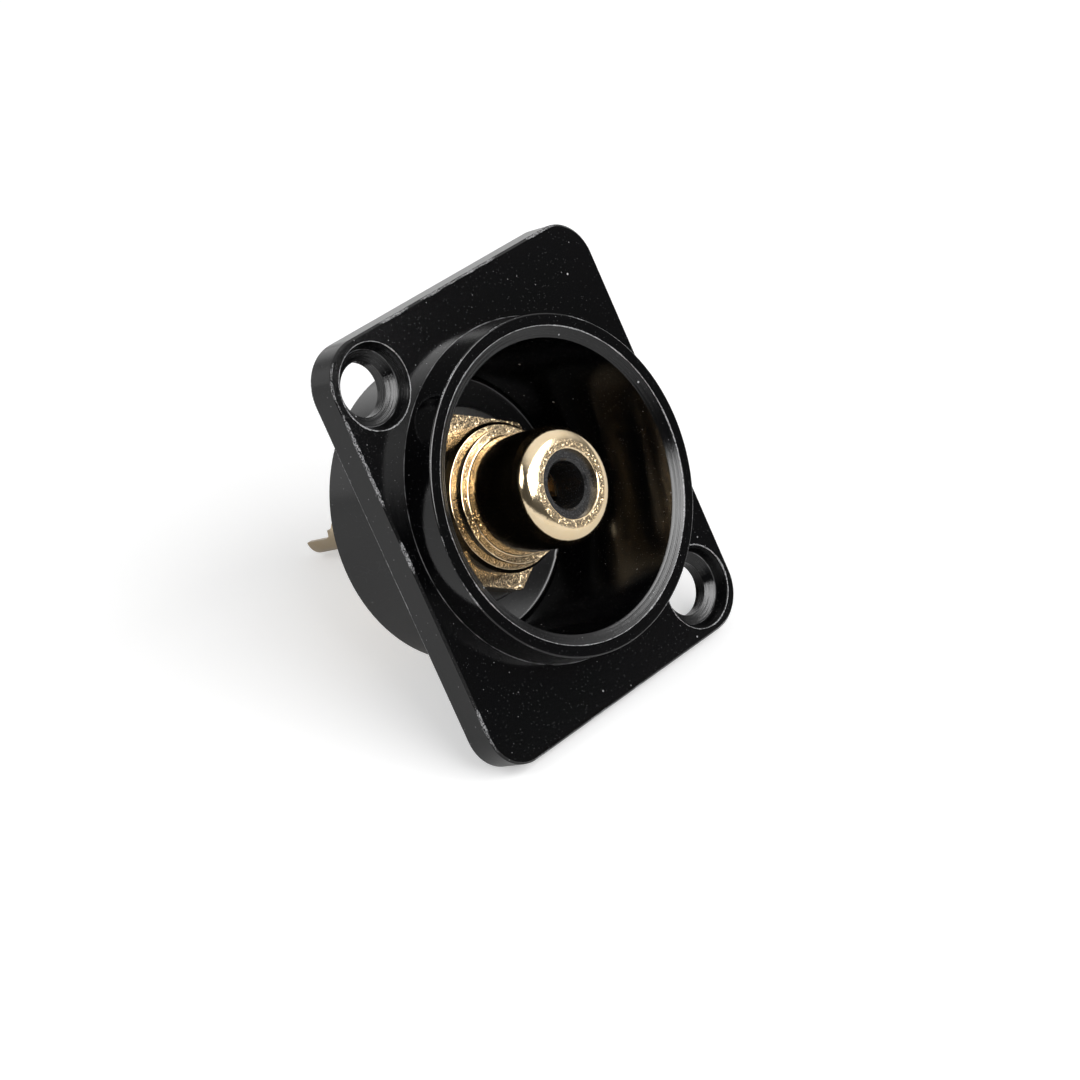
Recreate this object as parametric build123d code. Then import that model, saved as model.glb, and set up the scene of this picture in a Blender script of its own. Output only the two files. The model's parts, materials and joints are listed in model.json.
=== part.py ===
from build123d import *
import math
import os

# Panel socket for a phono plug, in a cup-shaped housing with a standard 26 x 31 mm flange.
# Millimetres. The socket axis is Y: the plug comes in from -Y and the wires leave at +Y.
# +Z is up, along the flange's long side. The origin lies on the socket axis, in the plane
# of the flange's back face, which is the face that sits on the panel.

# Flange
flange_w = 26.0
flange_h = 31.0
flange_t = 2.2
flange_corner_r = 3.1
flange_edge_break = 0.15

# Two countersunk screw holes, in opposite corners of the flange
screw_inset = 3.5
screw_hole_r = 1.9
sink_wall_depth = 0.9
sink_seat_width = 0.7
sink_seat_depth = 0.4
sink_draft = 0.32
sink_edge_break = 0.06
sink_corner_round = 0.15

# Cup: a round body behind the flange, open to the front through a collar
body_r = 10.66
body_len = 7.9
body_edge_break = 0.3
body_foot_round = 0.25
cup_wall = 1.26
cup_floor_t = 1.2
cup_taper = 0.74
cup_floor_round = 0.3
collar_h = 2.5
collar_draft = 0.19
rim_w = 0.85
rim_edge_round = 0.12
mouth_bevel_w = 0.76
mouth_bevel_depth = 0.43
floor_hole_r = 5.0

# Insulating washers, one each side of the cup floor, with shoulders that meet in its hole
washer_r = 7.05
washer_t = 0.9
washer_edge_round = 0.15
shoulder_gap = 0.1

# Socket shell, turned from hexagon bar
hex_across_flats = 11.85
hex_t = 1.75
hex_corner_cut = 0.1
boss_r = 5.26
boss_len = 2.25
boss_bevel_w = 0.22
boss_bevel_len = 0.31
boss_edge_round = 0.05
ring_r = 4.77
ring_t = 0.84
ring_edge_round = 0.08
barrel_r = 4.15
barrel_len = 4.58
barrel_foot_round = 0.08
nose_len = 1.32
nose_slope_deg = 15.0
nose_round = 1.2
lip_r = 2.4
lip_t = 0.37
lip_edge_round = 0.1
shell_bore_r = 3.0
stem_len = 10.2
stem_end_bevel = 0.35
crimp_r = 2.6
crimp_t = 0.4

# Thread on the stem. The stem is modelled at the foot of the thread, without its ridges.
thread_r = 4.0
thread_depth = 0.3

# Centre contact: a slotted sleeve in front, a collar, and a tail with a solder cup
pin_r = 1.6
pin_mouth_clearance = 0.05
pin_mouth_bevel = 0.15
contact_setback = 3.1
contact_wall = 0.45
contact_flex = 0.1
contact_bore_len = 9.3
slot_count = 4
slot_w = 0.35
slot_len = 6.8
contact_collar_r = 2.6
contact_collar_t = 0.8
contact_web_t = 1.5
tail_r = 1.25
tail_reach = 6.9
solder_bore_r = 0.85
solder_bore_len = 5.4
solder_notch_len = 3.1
solder_notch_round = 0.9

# Fastening behind the cup: solder lug, shakeproof washer and nut
lug_t = 0.5
lug_ring_r = 6.2
lug_tail_w = 3.2
lug_neck_len = 1.4
lug_bend_r = 0.8
lug_bend_deg = 75.0
lug_tail_len = 5.0
lug_wire_hole_r = 0.8
lug_tip_flat = 1.0
lock_washer_r = 5.9
lock_washer_t = 0.5
lock_tooth_count = 12
lock_tooth_len = 0.7
lock_notch_w = 0.7
nut_across_flats = 11.0
nut_t = 2.2
nut_corner_cut = 0.45

# Clearances
slide_fit = 0.05
thread_fit = 0.03

# Places along the socket axis, from the front of the housing to the back
rim_y = -flange_t - collar_h
floor_y = body_len - cup_floor_t
hex_back_y = floor_y - washer_t
hex_front_y = hex_back_y - hex_t
boss_front_y = hex_front_y - boss_len
boss_face_y = boss_front_y - boss_bevel_len
ring_front_y = boss_face_y - ring_t
nose_back_y = ring_front_y - barrel_len
nose_y = nose_back_y - nose_len
stem_end_y = hex_back_y + stem_len

lug_front_y = body_len + washer_t
lock_front_y = lug_front_y + lug_t
nut_front_y = lock_front_y + lock_washer_t

insulator_y = nose_y + lip_t
contact_y = insulator_y + contact_setback
contact_bore_end_y = contact_y + contact_bore_len
contact_collar_y = contact_bore_end_y + contact_web_t
rear_insulator_y = contact_collar_y + contact_collar_t
rear_insulator_end_y = stem_end_y - crimp_t
tail_end_y = stem_end_y + tail_reach

# Radii that follow from the walls and clearances above
cup_floor_r = body_r - cup_wall
cup_mouth_r = cup_floor_r + cup_taper
rim_inner_r = cup_mouth_r + mouth_bevel_w
rim_outer_r = rim_inner_r + rim_w
collar_foot_r = rim_outer_r + collar_draft
sink_floor_r = screw_hole_r + sink_seat_width
boss_face_r = boss_r - boss_bevel_w
nose_corner_r = barrel_r - nose_len * math.tan(math.radians(nose_slope_deg))
stem_r = thread_r - thread_depth
stem_hole_r = thread_r + slide_fit
contact_r = pin_r + contact_wall
contact_room_r = contact_r + contact_flex
insulator_r = shell_bore_r - slide_fit

screw_places = [
    (-flange_w / 2 + screw_inset, 0, flange_h / 2 - screw_inset),
    (flange_w / 2 - screw_inset, 0, -flange_h / 2 + screw_inset),
]
past = 1.0  # how far a cutting shape runs past the face that it opens


def turned(*outline, rounds=()):
    """Revolve an outline of (radius, y) corners about Y; rounds pairs a corner with its radius."""
    face = make_face(Polyline(*outline, close=True))
    for corner, radius in rounds:
        face = fillet(face.vertices().sort_by_distance((*corner, 0))[0], radius)
    return revolve(face, Axis.Y)


def plate(sketch, front_y, back_y):
    """Give a sketch, drawn as seen from the front, its thickness from front_y to back_y."""
    return Pos(0, back_y, 0) * extrude(Plane.XZ * sketch, back_y - front_y)


def hexagon(across_flats, front_y, back_y):
    """A hexagon prism with a corner at the top."""
    return plate(RegularPolygon(across_flats / 2, 6, major_radius=False, rotation=30), front_y, back_y)


def corner_trim(across_flats, cut, front_y, back_y, both_ends):
    """The turned form that takes the sharp corners off a hexagon's front, or off both ends."""
    corner_r = across_flats / 2 / math.cos(math.radians(30))
    face_r = corner_r - cut
    depth = cut * math.tan(math.radians(30))
    outline = [(0, front_y), (face_r, front_y), (corner_r, front_y + depth)]
    if both_ends:
        outline += [(corner_r, back_y - depth), (face_r, back_y)]
    else:
        outline += [(corner_r, back_y)]
    return turned(*outline, (0, back_y))


def make_screw_sink():
    """Cutting shape of one screw hole: drafted recess, conical seat and clear hole."""
    recess_r = sink_floor_r + sink_draft
    wall_end_y = -flange_t + sink_wall_depth
    seat_end_y = wall_end_y + sink_seat_depth
    return turned(
        (0, -flange_t - past),
        (recess_r + sink_edge_break, -flange_t - past),
        (recess_r + sink_edge_break, -flange_t),
        (recess_r, -flange_t + sink_edge_break),
        (sink_floor_r, wall_end_y),
        (screw_hole_r, seat_end_y),
        (screw_hole_r, past),
        (0, past),
        rounds=[((sink_floor_r, wall_end_y), sink_corner_round)],
    )


def make_housing():
    """Flange, collar and cup in one piece."""
    flange = extrude(Plane.XZ * RectangleRounded(flange_w, flange_h, flange_corner_r), flange_t)
    flange = chamfer(flange.faces().sort_by(Axis.Y)[0].edges(), flange_edge_break)
    collar_root_y = -flange_t / 2
    outside = turned(
        (0, rim_y),
        (rim_outer_r, rim_y),
        (collar_foot_r, -flange_t),
        (collar_foot_r, collar_root_y),
        (body_r, collar_root_y),
        (body_r, body_len - body_edge_break),
        (body_r - body_edge_break, body_len),
        (0, body_len),
        rounds=[((rim_outer_r, rim_y), rim_edge_round)],
    )
    inside = turned(
        (0, rim_y - past),
        (rim_inner_r, rim_y - past),
        (rim_inner_r, rim_y),
        (cup_mouth_r, rim_y + mouth_bevel_depth),
        (cup_floor_r, floor_y),
        (0, floor_y),
        rounds=[((cup_floor_r, floor_y), cup_floor_round)],
    )
    stem_opening = turned(
        (0, floor_y - past),
        (floor_hole_r, floor_y - past),
        (floor_hole_r, body_len + past),
        (0, body_len + past),
    )
    housing = flange + outside
    foot = housing.edges().filter_by(GeomType.CIRCLE).sort_by_distance((body_r, 0, 0))[0]
    housing = fillet(foot, body_foot_round) - inside - stem_opening
    for place in screw_places:
        housing -= Pos(*place) * make_screw_sink()
    return housing


def make_socket_shell():
    """Tapered nose, barrel, ring, boss, hexagon and hollow stem, turned from one bar."""
    front = turned(
        (0, nose_y),
        (nose_corner_r, nose_y),
        (barrel_r, nose_back_y),
        (barrel_r, ring_front_y),
        (ring_r, ring_front_y),
        (ring_r, boss_face_y),
        (boss_face_r, boss_face_y),
        (boss_r, boss_front_y),
        (boss_r, hex_back_y),
        (0, hex_back_y),
        rounds=[
            ((nose_corner_r, nose_y), nose_round),
            ((barrel_r, ring_front_y), barrel_foot_round),
            ((ring_r, ring_front_y), ring_edge_round),
            ((boss_face_r, boss_face_y), boss_edge_round),
        ],
    )
    stem = turned(
        (0, hex_front_y),
        (stem_r, hex_front_y),
        (stem_r, stem_end_y - stem_end_bevel),
        (stem_r - stem_end_bevel, stem_end_y),
        (0, stem_end_y),
    )
    collar = hexagon(hex_across_flats, hex_front_y, hex_back_y)
    collar &= corner_trim(hex_across_flats, hex_corner_cut, hex_front_y, hex_back_y, False)
    bore = turned(
        (0, nose_y - past),
        (lip_r, nose_y - past),
        (lip_r, insulator_y),
        (shell_bore_r, insulator_y),
        (shell_bore_r, rear_insulator_end_y),
        (crimp_r, rear_insulator_end_y),
        (crimp_r, stem_end_y + past),
        (0, stem_end_y + past),
    )
    shell = front + stem + collar - bore
    lip_edge = shell.edges().filter_by(GeomType.CIRCLE).sort_by_distance((lip_r, nose_y, 0))[0]
    return fillet(lip_edge, lip_edge_round)


def make_front_insulator():
    """Sleeve whose face shows inside the nose; it guides the pin and houses the contact."""
    mouth_r = pin_r + pin_mouth_clearance
    room_y = contact_y - contact_flex
    return turned(
        (mouth_r + pin_mouth_bevel, insulator_y),
        (insulator_r, insulator_y),
        (insulator_r, contact_collar_y),
        (contact_room_r, contact_collar_y),
        (contact_room_r, room_y),
        (mouth_r, room_y),
        (mouth_r, insulator_y + pin_mouth_bevel),
    )


def make_rear_insulator():
    """Bush that holds the contact's tail, kept in by the crimped end of the stem."""
    return turned(
        (tail_r + slide_fit, rear_insulator_y),
        (insulator_r, rear_insulator_y),
        (insulator_r, rear_insulator_end_y),
        (tail_r + slide_fit, rear_insulator_end_y),
    )


def make_centre_contact():
    """Slotted sleeve for the plug's pin, trapped by its collar, with a solder cup behind."""
    solid = turned(
        (0, contact_y),
        (contact_r, contact_y),
        (contact_r, contact_collar_y),
        (contact_collar_r, contact_collar_y),
        (contact_collar_r, rear_insulator_y),
        (tail_r, rear_insulator_y),
        (tail_r, tail_end_y),
        (0, tail_end_y),
        rounds=[((contact_r, contact_y), contact_wall / 2)],
    )
    pin_bore = turned(
        (0, contact_y - past),
        (pin_r, contact_y - past),
        (pin_r, contact_bore_end_y),
        (0, contact_bore_end_y + pin_r / 2),
    )
    solder_bore = turned(
        (0, tail_end_y - solder_bore_len),
        (solder_bore_r, tail_end_y - solder_bore_len + solder_bore_r),
        (solder_bore_r, tail_end_y + past),
        (0, tail_end_y + past),
    )
    contact = solid - pin_bore - solder_bore
    slot = Box(contact_r + past, slot_len + past, slot_w, align=(Align.MIN, Align.MAX, Align.CENTER))
    for turn in range(slot_count):
        angle = 360 * (turn + 0.5) / slot_count
        contact -= Pos(0, contact_y + slot_len, 0) * Rot(0, angle, 0) * slot
    return contact - make_solder_notch()


def make_solder_notch():
    """Cutting shape that lays the solder cup open on top, with a rounded run-out."""
    notch_y = tail_end_y - solder_notch_len
    outline = Pos((notch_y + tail_end_y + past) / 2, tail_r) * Rectangle(
        tail_end_y + past - notch_y, 2 * tail_r
    )
    run_out = outline.vertices().sort_by_distance((notch_y, 0, 0))[0]
    outline = fillet(run_out, solder_notch_round)
    return extrude(Plane.YZ * outline, tail_r + past, both=True)


def make_washer(seat_y, shoulder_side):
    """Insulating washer on one face of the cup floor, its shoulder pointing into the hole."""
    shoulder_len = (cup_floor_t - shoulder_gap) / 2
    shoulder_r = floor_hole_r - slide_fit
    face_y = seat_y - shoulder_side * washer_t
    end_y = seat_y + shoulder_side * shoulder_len
    return turned(
        (stem_hole_r, face_y),
        (washer_r, face_y),
        (washer_r, seat_y),
        (shoulder_r, seat_y),
        (shoulder_r, end_y),
        (stem_hole_r, end_y),
        rounds=[((washer_r, face_y), washer_edge_round)],
    )


def make_ground_lug():
    """Ring with a tail that is bent back to take the screen wire."""
    ring = plate(Circle(lug_ring_r) - Circle(stem_hole_r), lug_front_y, lock_front_y)
    mid_y = (lug_front_y + lock_front_y) / 2
    root_x = (stem_hole_r + lug_ring_r) / 2

    neck = Line((root_x, mid_y), (lug_ring_r + lug_neck_len, mid_y))
    bend = JernArc(neck @ 1, neck % 1, lug_bend_r, lug_bend_deg)
    tail = Line(bend @ 1, bend @ 1 + (bend % 1) * lug_tail_len)
    section = Plane(neck @ 0, x_dir=(0, 0, 1), z_dir=neck % 0) * Rectangle(lug_tail_w, lug_t)
    strip = sweep(section, neck + bend + tail)
    tip = strip.faces().sort_by_distance(tail @ 1)[0]
    tip_corners = tip.edges().sort_by(SortBy.LENGTH)[:2]
    strip = fillet(tip_corners, lug_tail_w / 2 - lug_tip_flat / 2)

    wire_hole_place = tail @ 1 - (tail % 1) * lug_tail_w / 2
    through_tail = Vector(0, 0, 1).cross(tail % 1)
    wire_hole = Plane(wire_hole_place, z_dir=through_tail) * Cylinder(lug_wire_hole_r, lug_t + 2 * past)
    return ring + strip - wire_hole


def make_lock_washer():
    """Shakeproof washer with teeth around its hole."""
    ring = Circle(lock_washer_r) - Circle(stem_hole_r)
    notch = Pos(stem_hole_r, 0) * Rectangle(2 * lock_tooth_len, lock_notch_w)
    ring -= PolarLocations(0, lock_tooth_count) * notch
    return plate(ring, lock_front_y, nut_front_y)


def make_nut():
    """Thin hexagon nut with both ends chamfered."""
    nut_back_y = nut_front_y + nut_t
    nut = hexagon(nut_across_flats, nut_front_y, nut_back_y)
    nut &= corner_trim(nut_across_flats, nut_corner_cut, nut_front_y, nut_back_y, True)
    hole_r = stem_r + thread_fit
    hole = turned(
        (0, nut_front_y - past),
        (hole_r, nut_front_y - past),
        (hole_r, nut_back_y + past),
        (0, nut_back_y + past),
    )
    return nut - hole


nodes = {
    "housing": make_housing(),
    "socket_shell": make_socket_shell(),
    "front_insulator": make_front_insulator(),
    "rear_insulator": make_rear_insulator(),
    "centre_contact": make_centre_contact(),
    "front_washer": make_washer(floor_y, 1),
    "rear_washer": make_washer(body_len, -1),
    "ground_lug": make_ground_lug(),
    "lock_washer": make_lock_washer(),
    "nut": make_nut(),
}

os.makedirs("parts", exist_ok=True)
for name, solid in nodes.items():
    export_step(solid, f"parts/{name}.step")
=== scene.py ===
# The look of a phono panel socket: camera, floor, light, finishes, and the fine thread that the
# solids leave out. Sizes are in millimetres and are turned into metres where Blender takes them.
import json
import math

import bpy
from mathutils import Matrix, Vector


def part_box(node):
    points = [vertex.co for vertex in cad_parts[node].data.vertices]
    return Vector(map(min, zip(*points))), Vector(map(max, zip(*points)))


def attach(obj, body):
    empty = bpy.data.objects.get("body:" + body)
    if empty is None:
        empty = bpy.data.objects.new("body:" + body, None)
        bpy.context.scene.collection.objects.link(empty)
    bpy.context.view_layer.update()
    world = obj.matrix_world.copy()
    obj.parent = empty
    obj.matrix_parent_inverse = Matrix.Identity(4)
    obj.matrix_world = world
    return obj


MM = 0.001

# Sizes of the housing that its finish follows
FLANGE_T = 2.2
FLANGE_CORNER_R = 3.1
COLLAR_FOOT_R = 11.94
RIM_OUTER_R = 11.75
RIM_INNER_R = 10.9
CUP_MOUTH_R = 10.14
SCREW_INSET = 3.5
SINK_MOUTH_R = 2.98
SINK_FLOOR_R = 2.6
SINK_WALL_DEPTH = 0.9

# The stem's thread. Its depth and the width of its crest are shares of its pitch.
THREAD_ROOT_R = 3.7
THREAD_CREST_R = 4.0
THREAD_DEPTH_SHARE = 0.6134
THREAD_CREST_SHARE = 0.15
THREAD_STEPS_PER_TURN = 48
STEM_END_BEVEL = 0.35

# The camera of the photograph
CAMERA_PLACE = (-156.53, -185.99, 45.52)
CAMERA_RIGHT = (0.6475, -0.6495, -0.3985)
CAMERA_UP = (0.4273, -0.1235, 0.8956)
CAMERA_LENS = 120.5
SENSOR_W = 36.0

# Light levels, where 1 is the white of the floor
ROOM_LEVEL = 0.07
GLOW_LEVEL = 0.95
AMBIENT_LEVEL = 0.38
FLOOR_LIFT = 0.4
MIRRORED_FLOOR_LIFT = 0.05

# What shiny pieces mirror, in degrees: a white table up to its far edge, and a glow high up
TABLE_FULL_TO = 5
TABLE_GONE_AT = 10
GLOW_AZIMUTH = 5
GLOW_ELEVATION = 62
GLOW_FULL_TO = 20
GLOW_GONE_AT = 62

# How far the soft boxes stand off, and how much nearer the twins stand that make their glints
LAMP_DISTANCE = 420
GLINT_STEP = 10

# Colours
PAPER_WHITE = (0.8, 0.8, 0.8)
COAT_BLACK = (0.0016, 0.0016, 0.0019)
# Pale of worn edges and dust, also the colour of the painted highlight rings
COAT_PALE_WEAR_DUST_AND_HIGHLIGHT = (0.42, 0.42, 0.43)
SHELL_GOLD = (0.87, 0.73, 0.52)
FIXING_GOLD = (0.85, 0.7, 0.46)
# The contact's gold is darker than the shell's: painted shade for its place deep in the pin hole
CONTACT_GOLD_WITH_PAINTED_SHADE = (0.55, 0.47, 0.36)
INSULATOR_GREY = (0.008, 0.0079, 0.0083)
WASHER_BLACK = (0.006, 0.006, 0.006)
DUST_GREY = (0.07, 0.07, 0.075)

# Shares of each channel that gold keeps in its deeper patches and in the pits of its flat faces
GOLD_DEEPER = (0.9, 0.82, 0.68)
GOLD_PITTED = (0.14, 0.11, 0.08)

# The width of worn edges where they are narrowest, and how much wider they get
WEAR_LEAST = 0.065
WEAR_MORE = 0.14

# How high the coat's turning marks are beside its grain, and how far back the deep ones go
FAINT_MARKS = 0.7
DEEP_MARKS = 14.0
DEEP_MARKS_END_Y = -0.3

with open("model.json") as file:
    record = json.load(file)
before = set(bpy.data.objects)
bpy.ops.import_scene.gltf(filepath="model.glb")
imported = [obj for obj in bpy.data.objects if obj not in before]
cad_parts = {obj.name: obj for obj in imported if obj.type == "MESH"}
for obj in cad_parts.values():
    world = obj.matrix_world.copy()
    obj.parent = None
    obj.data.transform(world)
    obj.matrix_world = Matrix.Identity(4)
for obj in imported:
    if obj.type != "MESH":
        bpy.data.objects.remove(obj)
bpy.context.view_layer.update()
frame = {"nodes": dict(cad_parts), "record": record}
housing_low, housing_high = (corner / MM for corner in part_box("housing"))
nut_back_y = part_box("nut")[1].y / MM
stem_end_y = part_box("socket_shell")[1].y / MM
mounts = {mount["name"]: mount for mount in frame["record"]["mounts"]}
body_r = mounts["panel_body"]["dims"]["r_mm"]

# The socket lies on the lower back edge of the flange and the lower back edge of the body.
floor_tilt = math.atan2(-body_r - housing_low.z, housing_high.y)
floor_up = Vector((0, -math.sin(floor_tilt), math.cos(floor_tilt)))
floor_back = Vector((0, math.cos(floor_tilt), math.sin(floor_tilt)))
floor_right = Vector((1, 0, 0))
floor_level = floor_up.z * housing_low.z


def floor_direction(azimuth, elevation):
    """A direction above the floor: azimuth 0 is +X, 90 is away from the socket's front."""
    a, e = math.radians(azimuth), math.radians(elevation)
    level = floor_right * math.cos(a) + floor_back * math.sin(a)
    return level * math.cos(e) + floor_up * math.sin(e)


def node(tree, kind, inputs=None, **settings):
    """Add a node. inputs maps an input's name or number to a value, or to a socket to link."""
    made = tree.nodes.new(kind)
    for name, value in settings.items():
        setattr(made, name, value)
    for key, value in (inputs or {}).items():
        if isinstance(value, bpy.types.NodeSocket):
            tree.links.new(value, made.inputs[key])
        else:
            made.inputs[key].default_value = value
    return made


def calc(tree, operation, *terms):
    """A Math node's result."""
    return node(tree, "ShaderNodeMath", dict(enumerate(terms)), operation=operation).outputs[0]


def vector_calc(tree, operation, *terms, scale=None):
    """A Vector Math node's result, a number for a dot product or a length."""
    inputs = dict(enumerate(terms))
    if scale is not None:
        inputs["Scale"] = scale
    made = node(tree, "ShaderNodeVectorMath", inputs, operation=operation)
    return made.outputs["Value" if operation in ("DOT_PRODUCT", "LENGTH") else "Vector"]


def fade(tree, value, start, end):
    """0 before start, 1 after end, smooth between them."""
    inputs = {"Value": value, "From Min": start, "From Max": end}
    return node(tree, "ShaderNodeMapRange", inputs, interpolation_type="SMOOTHSTEP").outputs[0]


def blend(tree, factor, a, b):
    """A number between a and b."""
    inputs = {"Factor": factor, "A": a, "B": b}
    return node(tree, "ShaderNodeMix", inputs, data_type="FLOAT").outputs[0]


def blend_color(tree, factor, a, b):
    """A colour between a and b, which are sockets or red, green and blue."""
    first, last = (end if isinstance(end, bpy.types.NodeSocket) else (*end, 1) for end in (a, b))
    inputs = {0: factor, 6: first, 7: last}
    return node(tree, "ShaderNodeMix", inputs, data_type="RGBA").outputs[2]


def make_camera():
    """The photograph's camera."""
    data = bpy.data.cameras.new("photo_camera")
    data.lens, data.sensor_width = CAMERA_LENS, SENSOR_W
    data.clip_start, data.clip_end = 10 * MM, 5000 * MM
    camera = bpy.data.objects.new("photo_camera", data)
    right, up = Vector(CAMERA_RIGHT).normalized(), Vector(CAMERA_UP).normalized()
    axes = Matrix((right, up, right.cross(up))).transposed()
    camera.matrix_world = Matrix.Translation(Vector(CAMERA_PLACE) * MM) @ axes.to_4x4()
    bpy.context.scene.collection.objects.link(camera)
    bpy.context.scene.camera = camera


def mirrored_room(tree):
    """How bright shiny pieces see the world: a white table, a dark room and a glow high up."""
    direction = node(tree, "ShaderNodeTexCoord").outputs["Generated"]
    height = vector_calc(tree, "DOT_PRODUCT", direction, floor_up)
    table_gone, table_full = (math.sin(math.radians(a)) for a in (TABLE_GONE_AT, TABLE_FULL_TO))
    table = fade(tree, height, table_gone, table_full)
    glow_middle = floor_direction(GLOW_AZIMUTH, GLOW_ELEVATION)
    toward_glow = vector_calc(tree, "DOT_PRODUCT", direction, glow_middle)
    glow_gone, glow_full = (math.cos(math.radians(a)) for a in (GLOW_GONE_AT, GLOW_FULL_TO))
    glow = fade(tree, toward_glow, glow_gone, glow_full)
    room = calc(tree, "MULTIPLY_ADD", glow, GLOW_LEVEL, ROOM_LEVEL)
    return blend(tree, table, room, 1.0)


def make_world():
    """A white background, which lights the socket evenly and is mirrored as a room."""
    world = bpy.data.worlds.new("studio")
    world.use_nodes = True
    # If the world were sampled as a lamp is, black pieces would mirror its even light as well.
    world.cycles.sampling_method = "NONE"
    tree = world.node_tree
    tree.nodes.clear()
    path = node(tree, "ShaderNodeLightPath").outputs
    seen = calc(tree, "MAXIMUM", path["Is Camera Ray"], path["Is Transmission Ray"])
    level = blend(tree, path["Is Glossy Ray"], AMBIENT_LEVEL, mirrored_room(tree))
    level = blend(tree, seen, level, 1.0)
    light = node(tree, "ShaderNodeBackground", {"Color": (1, 1, 1, 1), "Strength": level})
    node(tree, "ShaderNodeOutputWorld", {"Surface": light.outputs[0]})
    bpy.context.scene.world = world


def make_lamp(name, azimuth, elevation, distance, width, height, level, roll=0):
    """A soft box that faces the socket. level is how bright it looks, where 1 is the floor's white."""
    data = bpy.data.lights.new(name, "AREA")
    data.shape, data.size, data.size_y = "RECTANGLE", width * MM, height * MM
    data.energy = level * math.pi * data.size * data.size_y
    lamp = bpy.data.objects.new(name, data)
    away = floor_direction(azimuth, elevation)
    side = floor_up.cross(away).normalized()
    axes = Matrix((side, away.cross(side), away)).transposed()
    turned = axes @ Matrix.Rotation(math.radians(roll), 3, "Z")
    lamp.matrix_world = Matrix.Translation(away * distance * MM) @ turned.to_4x4()
    lamp.visible_camera = False
    bpy.context.scene.collection.objects.link(lamp)
    return lamp


def make_soft_box(name, level, glint_level, **place):
    """A soft box whose mirror image is brighter than its light, as an overexposed lamp's is."""
    lamp = make_lamp(name, level=level, distance=LAMP_DISTANCE, **place)
    lamp.visible_glossy = False
    nearer = LAMP_DISTANCE - GLINT_STEP
    glint = make_lamp(name + "_glint", level=glint_level, distance=nearer, **place)
    glint.visible_diffuse = False


def make_lights():
    """A large soft box in front of the socket, and a smaller one on the picture's left."""
    front = {"azimuth": -82, "elevation": 47, "width": 520, "height": 260, "roll": -12}
    left = {"azimuth": 155, "elevation": 42, "width": 300, "height": 180}
    make_soft_box("front_soft_box", level=3.4, glint_level=9.0, **front)
    make_soft_box("left_soft_box", level=2.3, glint_level=4.0, **left)


def floor_material():
    """White paper. It keeps the socket's shadow, and is clear when seen from below."""
    material = bpy.data.materials.new("white_floor")
    material.use_nodes = True
    tree = material.node_tree
    tree.nodes.clear()
    path = node(tree, "ShaderNodeLightPath").outputs
    seen = calc(tree, "MAXIMUM", path["Is Camera Ray"], path["Is Transmission Ray"])
    lift = calc(tree, "MULTIPLY", seen, FLOOR_LIFT)
    lift = calc(tree, "MULTIPLY_ADD", path["Is Glossy Ray"], MIRRORED_FLOOR_LIFT, lift)
    lift = node(tree, "ShaderNodeEmission", {"Strength": lift}).outputs[0]
    paper = node(tree, "ShaderNodeBsdfDiffuse", {"Color": (*PAPER_WHITE, 1)}).outputs[0]
    lit = node(tree, "ShaderNodeAddShader", {0: paper, 1: lift}).outputs[0]
    clear = node(tree, "ShaderNodeBsdfTransparent").outputs[0]
    below = node(tree, "ShaderNodeNewGeometry").outputs["Backfacing"]
    surface = node(tree, "ShaderNodeMixShader", {0: below, 1: lit, 2: clear}).outputs[0]
    node(tree, "ShaderNodeOutputMaterial", {"Surface": surface})
    return material


def make_floor(radius=260.0, sides=96):
    """A round floor in the plane that the socket lies on."""
    middle = floor_up * floor_level
    ring = [floor_direction(360 * i / sides, 0) * radius + middle for i in range(sides)]
    mesh = bpy.data.meshes.new("floor")
    mesh.from_pydata([point * MM for point in ring], [], [range(sides)])
    mesh.materials.append(floor_material())
    floor = bpy.data.objects.new("floor", mesh)
    bpy.context.scene.collection.objects.link(floor)


def start_material(name):
    """A material with its shader, and the surface's place in millimetres."""
    material = bpy.data.materials.new(name)
    material.use_nodes = True
    tree = material.node_tree
    tree.nodes.clear()
    shader = node(tree, "ShaderNodeBsdfPrincipled")
    node(tree, "ShaderNodeOutputMaterial", {"Surface": shader.outputs[0]})
    place = node(tree, "ShaderNodeTexCoord").outputs["Object"]
    return material, tree, shader, vector_calc(tree, "SCALE", place, scale=1 / MM)


def noise(tree, place, per_mm, detail=3.0, rough=0.6):
    """A noise texture's number."""
    inputs = {"Vector": place, "Scale": per_mm, "Detail": detail, "Roughness": rough}
    return node(tree, "ShaderNodeTexNoise", inputs).outputs[0]


def axis_radius(tree, place):
    """How far a place is from the socket's axis."""
    flat = vector_calc(tree, "MULTIPLY", place, (1, 0, 1))
    return vector_calc(tree, "LENGTH", flat)


def sink_radius(tree, place):
    """Distance from the nearer screw hole's axis; half a turn lays one hole on the other."""
    z = node(tree, "ShaderNodeSeparateXYZ", {0: place}).outputs["Z"]
    half = calc(tree, "SIGN", z)
    turn = node(tree, "ShaderNodeCombineXYZ", {0: half, 2: half}).outputs[0]
    folded = vector_calc(tree, "MULTIPLY", place, turn)
    hole = (housing_low.x + SCREW_INSET, 0, housing_high.z - SCREW_INSET)
    return vector_calc(tree, "LENGTH", vector_calc(tree, "SUBTRACT", folded, hole))


def flange_inset(tree, place):
    """Distance from the flange's outline, less than 0 inside it."""
    corner = (housing_high.x - FLANGE_CORNER_R, 0, housing_high.z - FLANGE_CORNER_R)
    beyond = vector_calc(tree, "SUBTRACT", vector_calc(tree, "ABSOLUTE", place), corner)
    beyond = vector_calc(tree, "MAXIMUM", beyond, (0, 0, 0))
    return calc(tree, "SUBTRACT", axis_radius(tree, beyond), FLANGE_CORNER_R)


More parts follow.
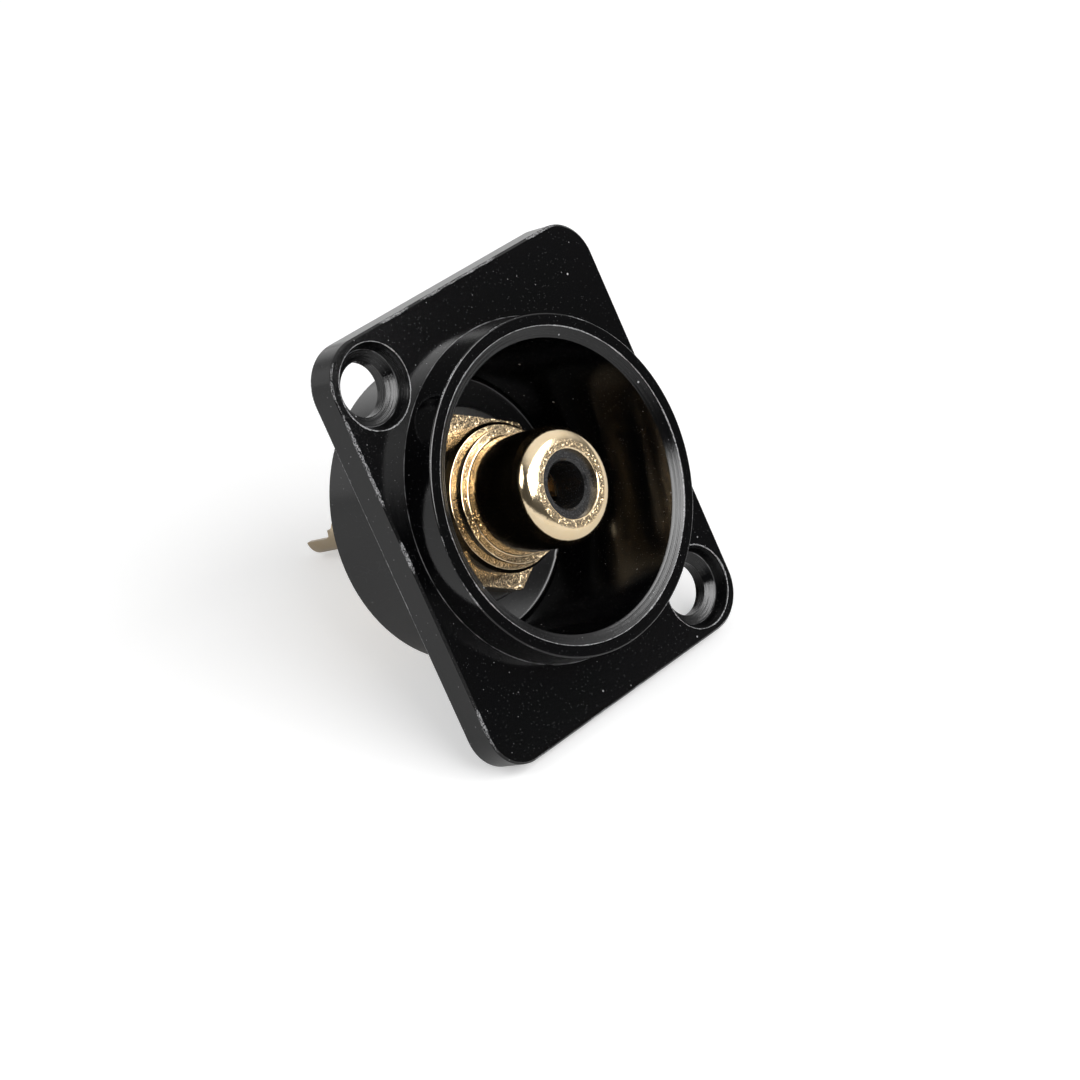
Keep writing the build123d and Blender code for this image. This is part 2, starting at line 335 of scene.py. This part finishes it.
def edge_gap(tree, across, y, edge_across, edge_y):
    """Distance from an edge that runs round at edge_across and edge_y."""
    a = calc(tree, "SUBTRACT", across, edge_across)
    b = calc(tree, "SUBTRACT", y, edge_y)
    return calc(tree, "SQRT", calc(tree, "MULTIPLY_ADD", a, a, calc(tree, "MULTIPLY", b, b)))


def dust(tree, place, per_mm, share, size):
    """Grains of dust: 1 on a grain. share is how many cells hold one, size is the radius in cells."""
    cells = node(tree, "ShaderNodeTexVoronoi", {"Vector": place, "Scale": per_mm})
    chance = node(tree, "ShaderNodeSeparateColor", {0: cells.outputs["Color"]}).outputs[0]
    chosen = calc(tree, "LESS_THAN", chance, share)
    return calc(tree, "MULTIPLY", chosen, fade(tree, cells.outputs["Distance"], size, size * 0.5))


def add_bump(tree, shader, height, depth_mm, normal=None):
    """Bump of that depth on the shader, over a normal of its own where one is given."""
    inputs = {"Height": height, "Distance": depth_mm * MM, "Strength": 1.0}
    if normal:
        inputs["Normal"] = normal
    tree.links.new(node(tree, "ShaderNodeBump", inputs).outputs[0], shader.inputs["Normal"])


def edge_wear(tree, place, y, radius):
    """1 where the coat has worn off along its sharp edges, in patches of changing width."""
    inset = flange_inset(tree, place)
    sink = sink_radius(tree, place)
    rim_y = housing_low.y
    # What measures across the edge, where the edge is, and how many times narrower it wears
    edges = [
        (inset, 0.0, -FLANGE_T, 1.0),
        (inset, 0.0, 0.0, 2.5),
        (radius, RIM_OUTER_R, rim_y, 2.2),
        (radius, RIM_INNER_R, rim_y, 2.6),
        (sink, SINK_MOUTH_R, -FLANGE_T, 2.2),
    ]
    gaps = []
    for across, edge_across, edge_y, narrower in edges:
        gap = edge_gap(tree, across, y, edge_across, edge_y)
        gaps.append(calc(tree, "MULTIPLY", gap, narrower))
    nearest = gaps[0]
    for gap in gaps[1:]:
        nearest = calc(tree, "MINIMUM", nearest, gap)
    broad = fade(tree, noise(tree, place, per_mm=0.35, detail=2.0, rough=0.5), 0.4, 0.7)
    ragged = fade(tree, noise(tree, place, per_mm=14.0, detail=4.0, rough=0.75), 0.42, 0.58)
    width = calc(tree, "MULTIPLY", ragged, calc(tree, "MULTIPLY_ADD", broad, WEAR_MORE, WEAR_LEAST))
    return fade(tree, calc(tree, "SUBTRACT", nearest, width), 0.01, -0.01)


def painted_highlight_rings(tree, place, y, radius):
    """Painted highlights: fine pale rings where the collar stands on the flange and where each screw
    sink's wall ends.
    """
    foot = edge_gap(tree, radius, y, COLLAR_FOOT_R, -FLANGE_T)
    seat = edge_gap(tree, sink_radius(tree, place), y, SINK_FLOOR_R, SINK_WALL_DEPTH - FLANGE_T)
    strength = fade(tree, noise(tree, place, per_mm=0.8), 0.3, 0.7)
    return calc(tree, "MULTIPLY", strength, fade(tree, calc(tree, "MINIMUM", foot, seat), 0.06, 0.02))


def turning_marks(tree, place, y, radius):
    """Rings left by the cutter: faint outside, deep on the cup's mouth bevel and in the screw sinks."""
    sink = sink_radius(tree, place)
    in_sink = calc(tree, "LESS_THAN", sink, SINK_MOUTH_R)
    middle, reach = (RIM_INNER_R + CUP_MOUTH_R) / 2, (RIM_INNER_R - CUP_MOUTH_R) / 2
    on_bevel = calc(tree, "COMPARE", radius, middle, reach)
    turned = {0: blend(tree, in_sink, radius, sink), 1: y}
    turned = node(tree, "ShaderNodeCombineXYZ", turned).outputs[0]
    rings = noise(tree, turned, per_mm=7.0, rough=0.7)
    in_front = calc(tree, "LESS_THAN", y, DEEP_MARKS_END_Y)
    deep = calc(tree, "MULTIPLY", calc(tree, "MAXIMUM", in_sink, on_bevel), in_front)
    depth = blend(tree, deep, FAINT_MARKS, DEEP_MARKS)
    return calc(tree, "MULTIPLY", calc(tree, "SUBTRACT", rings, 0.5), depth)


def coat_dust(tree, place):
    """Pale specks on the coat, a few large ones and many fine ones."""
    large = dust(tree, place, per_mm=0.8, share=0.2, size=0.075)
    middling = calc(tree, "MULTIPLY", dust(tree, place, per_mm=2.3, share=0.14, size=0.1), 0.6)
    fine = calc(tree, "MULTIPLY", dust(tree, place, per_mm=7.5, share=0.2, size=0.24), 0.16)
    return calc(tree, "MAXIMUM", calc(tree, "MAXIMUM", large, middling), fine)


def black_coat():
    """The housing's black coat: worn edges, painted highlight rings, turning marks, fine grain and dust.
    """
    material, tree, shader, place = start_material("black_coat")
    y = node(tree, "ShaderNodeSeparateXYZ", {0: place}).outputs["Y"]
    radius = axis_radius(tree, place)
    worn = edge_wear(tree, place, y, radius)
    # Painted highlights, where the small fillets at the collar's foot and the sink seats catch light
    painted_highlights = calc(tree, "MULTIPLY", painted_highlight_rings(tree, place, y, radius), 0.45)
    # The pale colour holds worn edges, dust and these painted highlights
    pale = calc(tree, "MAXIMUM", calc(tree, "MAXIMUM", worn, painted_highlights), coat_dust(tree, place))
    color = blend_color(tree, pale, COAT_BLACK, COAT_PALE_WEAR_DUST_AND_HIGHLIGHT)
    tree.links.new(color, shader.inputs["Base Color"])
    grain = noise(tree, place, per_mm=9.0, detail=4.0, rough=0.65)
    gloss = blend(tree, grain, 0.05, 0.11)
    tree.links.new(blend(tree, pale, gloss, 0.5), shader.inputs["Roughness"])
    marks = turning_marks(tree, place, y, radius)
    add_bump(tree, shader, calc(tree, "ADD", marks, grain), depth_mm=0.003)
    shader.inputs["IOR"].default_value = 1.45
    return material


def sparkle(tree, place, normal, grain):
    """The surface's normal, leant over in a few small grains, most where grain is 1."""
    grains = node(tree, "ShaderNodeTexVoronoi", {"Vector": place, "Scale": 13.0}).outputs["Color"]
    chance = node(tree, "ShaderNodeSeparateColor", {0: grains}).outputs[2]
    chosen = calc(tree, "GREATER_THAN", chance, 0.85)
    how_far = calc(tree, "MULTIPLY", chosen, blend(tree, grain, 0.05, 0.6))
    lean = vector_calc(tree, "SUBTRACT", grains, (0.5, 0.5, 0.5))
    lean = vector_calc(tree, "SCALE", lean, scale=how_far)
    return vector_calc(tree, "NORMALIZE", vector_calc(tree, "ADD", normal, lean))


def shade(color, shares):
    """A colour of which each channel keeps its share."""
    return tuple(channel * share for channel, share in zip(color, shares))


def gold(name, color, polish, satin, grainy, wavy_mm):
    """Gold plating with slow waves in it, wavy_mm deep.

    polish is the roughness of turned faces, and satin that of the faces across the socket's axis,
    which also have pits and sparkling grains. grainy, from 0 to 1, is how much these show.
    """
    material, tree, shader, place = start_material(name)
    shader.inputs["Metallic"].default_value = 1.0
    normal = node(tree, "ShaderNodeNewGeometry").outputs["Normal"]
    along_axis = node(tree, "ShaderNodeSeparateXYZ", {0: normal}).outputs["Y"]
    flat = fade(tree, calc(tree, "ABSOLUTE", along_axis), 0.985, 0.998)
    patches = noise(tree, place, per_mm=1.2)
    tone = blend_color(tree, patches, color, shade(color, GOLD_DEEPER))
    grain = calc(tree, "MULTIPLY", flat, grainy)
    pits = fade(tree, noise(tree, place, per_mm=12.0, rough=0.8), 0.6, 0.45)
    pits = calc(tree, "MULTIPLY", grain, pits)
    tone = blend_color(tree, pits, tone, shade(color, GOLD_PITTED))
    tree.links.new(tone, shader.inputs["Base Color"])
    tree.links.new(blend(tree, flat, polish, satin), shader.inputs["Roughness"])
    slow = noise(tree, place, per_mm=2.5, detail=2.0)
    quick = noise(tree, place, per_mm=9.0, detail=1.0)
    waves = calc(tree, "MULTIPLY_ADD", slow, 2.0, quick)
    height = calc(tree, "MULTIPLY", waves, blend(tree, flat, 1.0, 0.15))
    add_bump(tree, shader, height, wavy_mm, sparkle(tree, place, normal, grain))
    return material


def plastic(name, color, roughness_range, dusty=0.1):
    """Plastic with a fine grain and dust. dusty is the share of its surface with grains on it."""
    material, tree, shader, place = start_material(name)
    grain = noise(tree, place, per_mm=11.0, detail=4.0, rough=0.7)
    pale = tuple(channel * 2.2 + 0.01 for channel in color)
    tone = blend_color(tree, fade(tree, grain, 0.35, 0.75), color, pale)
    grains = dust(tree, place, per_mm=9.0, share=dusty, size=0.35)
    tree.links.new(blend_color(tree, grains, tone, DUST_GREY), shader.inputs["Base Color"])
    tree.links.new(blend(tree, grain, *roughness_range), shader.inputs["Roughness"])
    add_bump(tree, shader, grain, depth_mm=0.006)
    return material


def thread_nodes():
    """A tree that winds a ridge of trapezium section along +Y."""
    tree = bpy.data.node_groups.new("thread", "GeometryNodeTree")
    add_socket = tree.interface.new_socket
    sizes = {}
    for name in ("Root Radius", "Crest Radius", "Pitch", "Start", "Length"):
        sizes[name] = add_socket(name=name, in_out="INPUT", socket_type="NodeSocketFloat")
    finish = add_socket(name="Finish", in_out="INPUT", socket_type="NodeSocketMaterial")
    add_socket(name="Geometry", in_out="OUTPUT", socket_type="NodeSocketGeometry")
    given = node(tree, "NodeGroupInput").outputs
    depth = calc(tree, "SUBTRACT", given["Crest Radius"], given["Root Radius"])
    middle = calc(tree, "MULTIPLY_ADD", depth, 0.5, given["Root Radius"])
    spiral = {
        "Resolution": THREAD_STEPS_PER_TURN,
        "Rotations": calc(tree, "DIVIDE", given["Length"], given["Pitch"]),
        "Start Radius": middle,
        "End Radius": middle,
        "Height": given["Length"],
    }
    path = node(tree, "GeometryNodeCurveSpiral", spiral).outputs[0]
    path = node(tree, "GeometryNodeSetCurveNormal", {"Curve": path}, mode="Z_UP").outputs[0]
    crest = calc(tree, "MULTIPLY", given["Pitch"], THREAD_CREST_SHARE)
    section = {"Height": depth, "Bottom Width": given["Pitch"], "Top Width": crest, "Offset": 0.0}
    section = node(tree, "GeometryNodeCurvePrimitiveQuadrilateral", section, mode="TRAPEZOID").outputs[0]
    ridge = {"Curve": path, "Profile Curve": section, "Fill Caps": True}
    ridge = node(tree, "GeometryNodeCurveToMesh", ridge).outputs[0]
    start = node(tree, "ShaderNodeCombineXYZ", {1: given["Start"]}).outputs[0]
    along_y = (math.radians(-90), 0, 0)
    placed = {"Geometry": ridge, "Rotation": along_y, "Translation": start}
    placed = node(tree, "GeometryNodeTransform", placed).outputs[0]
    real = node(tree, "GeometryNodeRealizeInstances", {0: placed}).outputs[0]
    done = {"Geometry": real, "Material": given["Finish"]}
    done = node(tree, "GeometryNodeSetMaterial", done).outputs[0]
    node(tree, "NodeGroupOutput", {0: done})
    return tree, sizes, finish


def make_thread(finish_material):
    """The thread on the stem, from the nut to the stem's end."""
    tree, sizes, finish = thread_nodes()
    pitch = (THREAD_CREST_R - THREAD_ROOT_R) / THREAD_DEPTH_SHARE
    values = {
        "Root Radius": THREAD_ROOT_R,
        "Crest Radius": THREAD_CREST_R,
        "Pitch": pitch,
        "Start": nut_back_y + pitch / 2,
        "Length": stem_end_y - STEM_END_BEVEL - nut_back_y - pitch,
    }
    maker = bpy.data.objects.new("thread_maker", bpy.data.meshes.new("thread_maker"))
    bpy.context.scene.collection.objects.link(maker)
    modifier = maker.modifiers.new("thread", "NODES")
    modifier.node_group = tree
    for name, value in values.items():
        modifier[sizes[name].identifier] = value * MM
    modifier[finish.identifier] = finish_material
    made = maker.evaluated_get(bpy.context.evaluated_depsgraph_get())
    mesh = bpy.data.meshes.new_from_object(made)
    bpy.data.objects.remove(maker)
    thread = bpy.data.objects.new("stem_thread", mesh)
    bpy.context.scene.collection.objects.link(thread)
    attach(thread, "root")


def dress_nodes():
    """Give each solid its finish, and give back the shell's."""
    shell = gold(
        "gold_shell_finish", SHELL_GOLD, polish=0.12, satin=0.27, grainy=1.0, wavy_mm=0.002
    )
    fixing = gold(
        "gold_fixing_finish", FIXING_GOLD, polish=0.3, satin=0.34, grainy=0.15, wavy_mm=0.0004
    )
    # The contact's darker gold is painted shade for the deep pin hole
    contact = gold(
        "gold_contact_painted_shade_finish", CONTACT_GOLD_WITH_PAINTED_SHADE, polish=0.25, satin=0.3, grainy=0.15, wavy_mm=0.0004
    )
    insulator = plastic("insulator_finish", INSULATOR_GREY, (0.18, 0.28), dusty=0.3)
    washer = plastic("washer_finish", WASHER_BLACK, (0.35, 0.5))
    finishes = {
        "housing": black_coat(),
        "socket_shell": shell,
        "front_insulator": insulator,
        "rear_insulator": insulator,
        "centre_contact": contact,
        "front_washer": washer,
        "rear_washer": washer,
        "ground_lug": fixing,
        "lock_washer": fixing,
        "nut": fixing,
    }
    for name, material in finishes.items():
        for slot in frame["nodes"][name].material_slots:
            slot.material = material
    return shell


bpy.context.scene.view_settings.view_transform = "Standard"
make_camera()
make_world()
make_lights()
make_floor()
make_thread(dress_nodes())
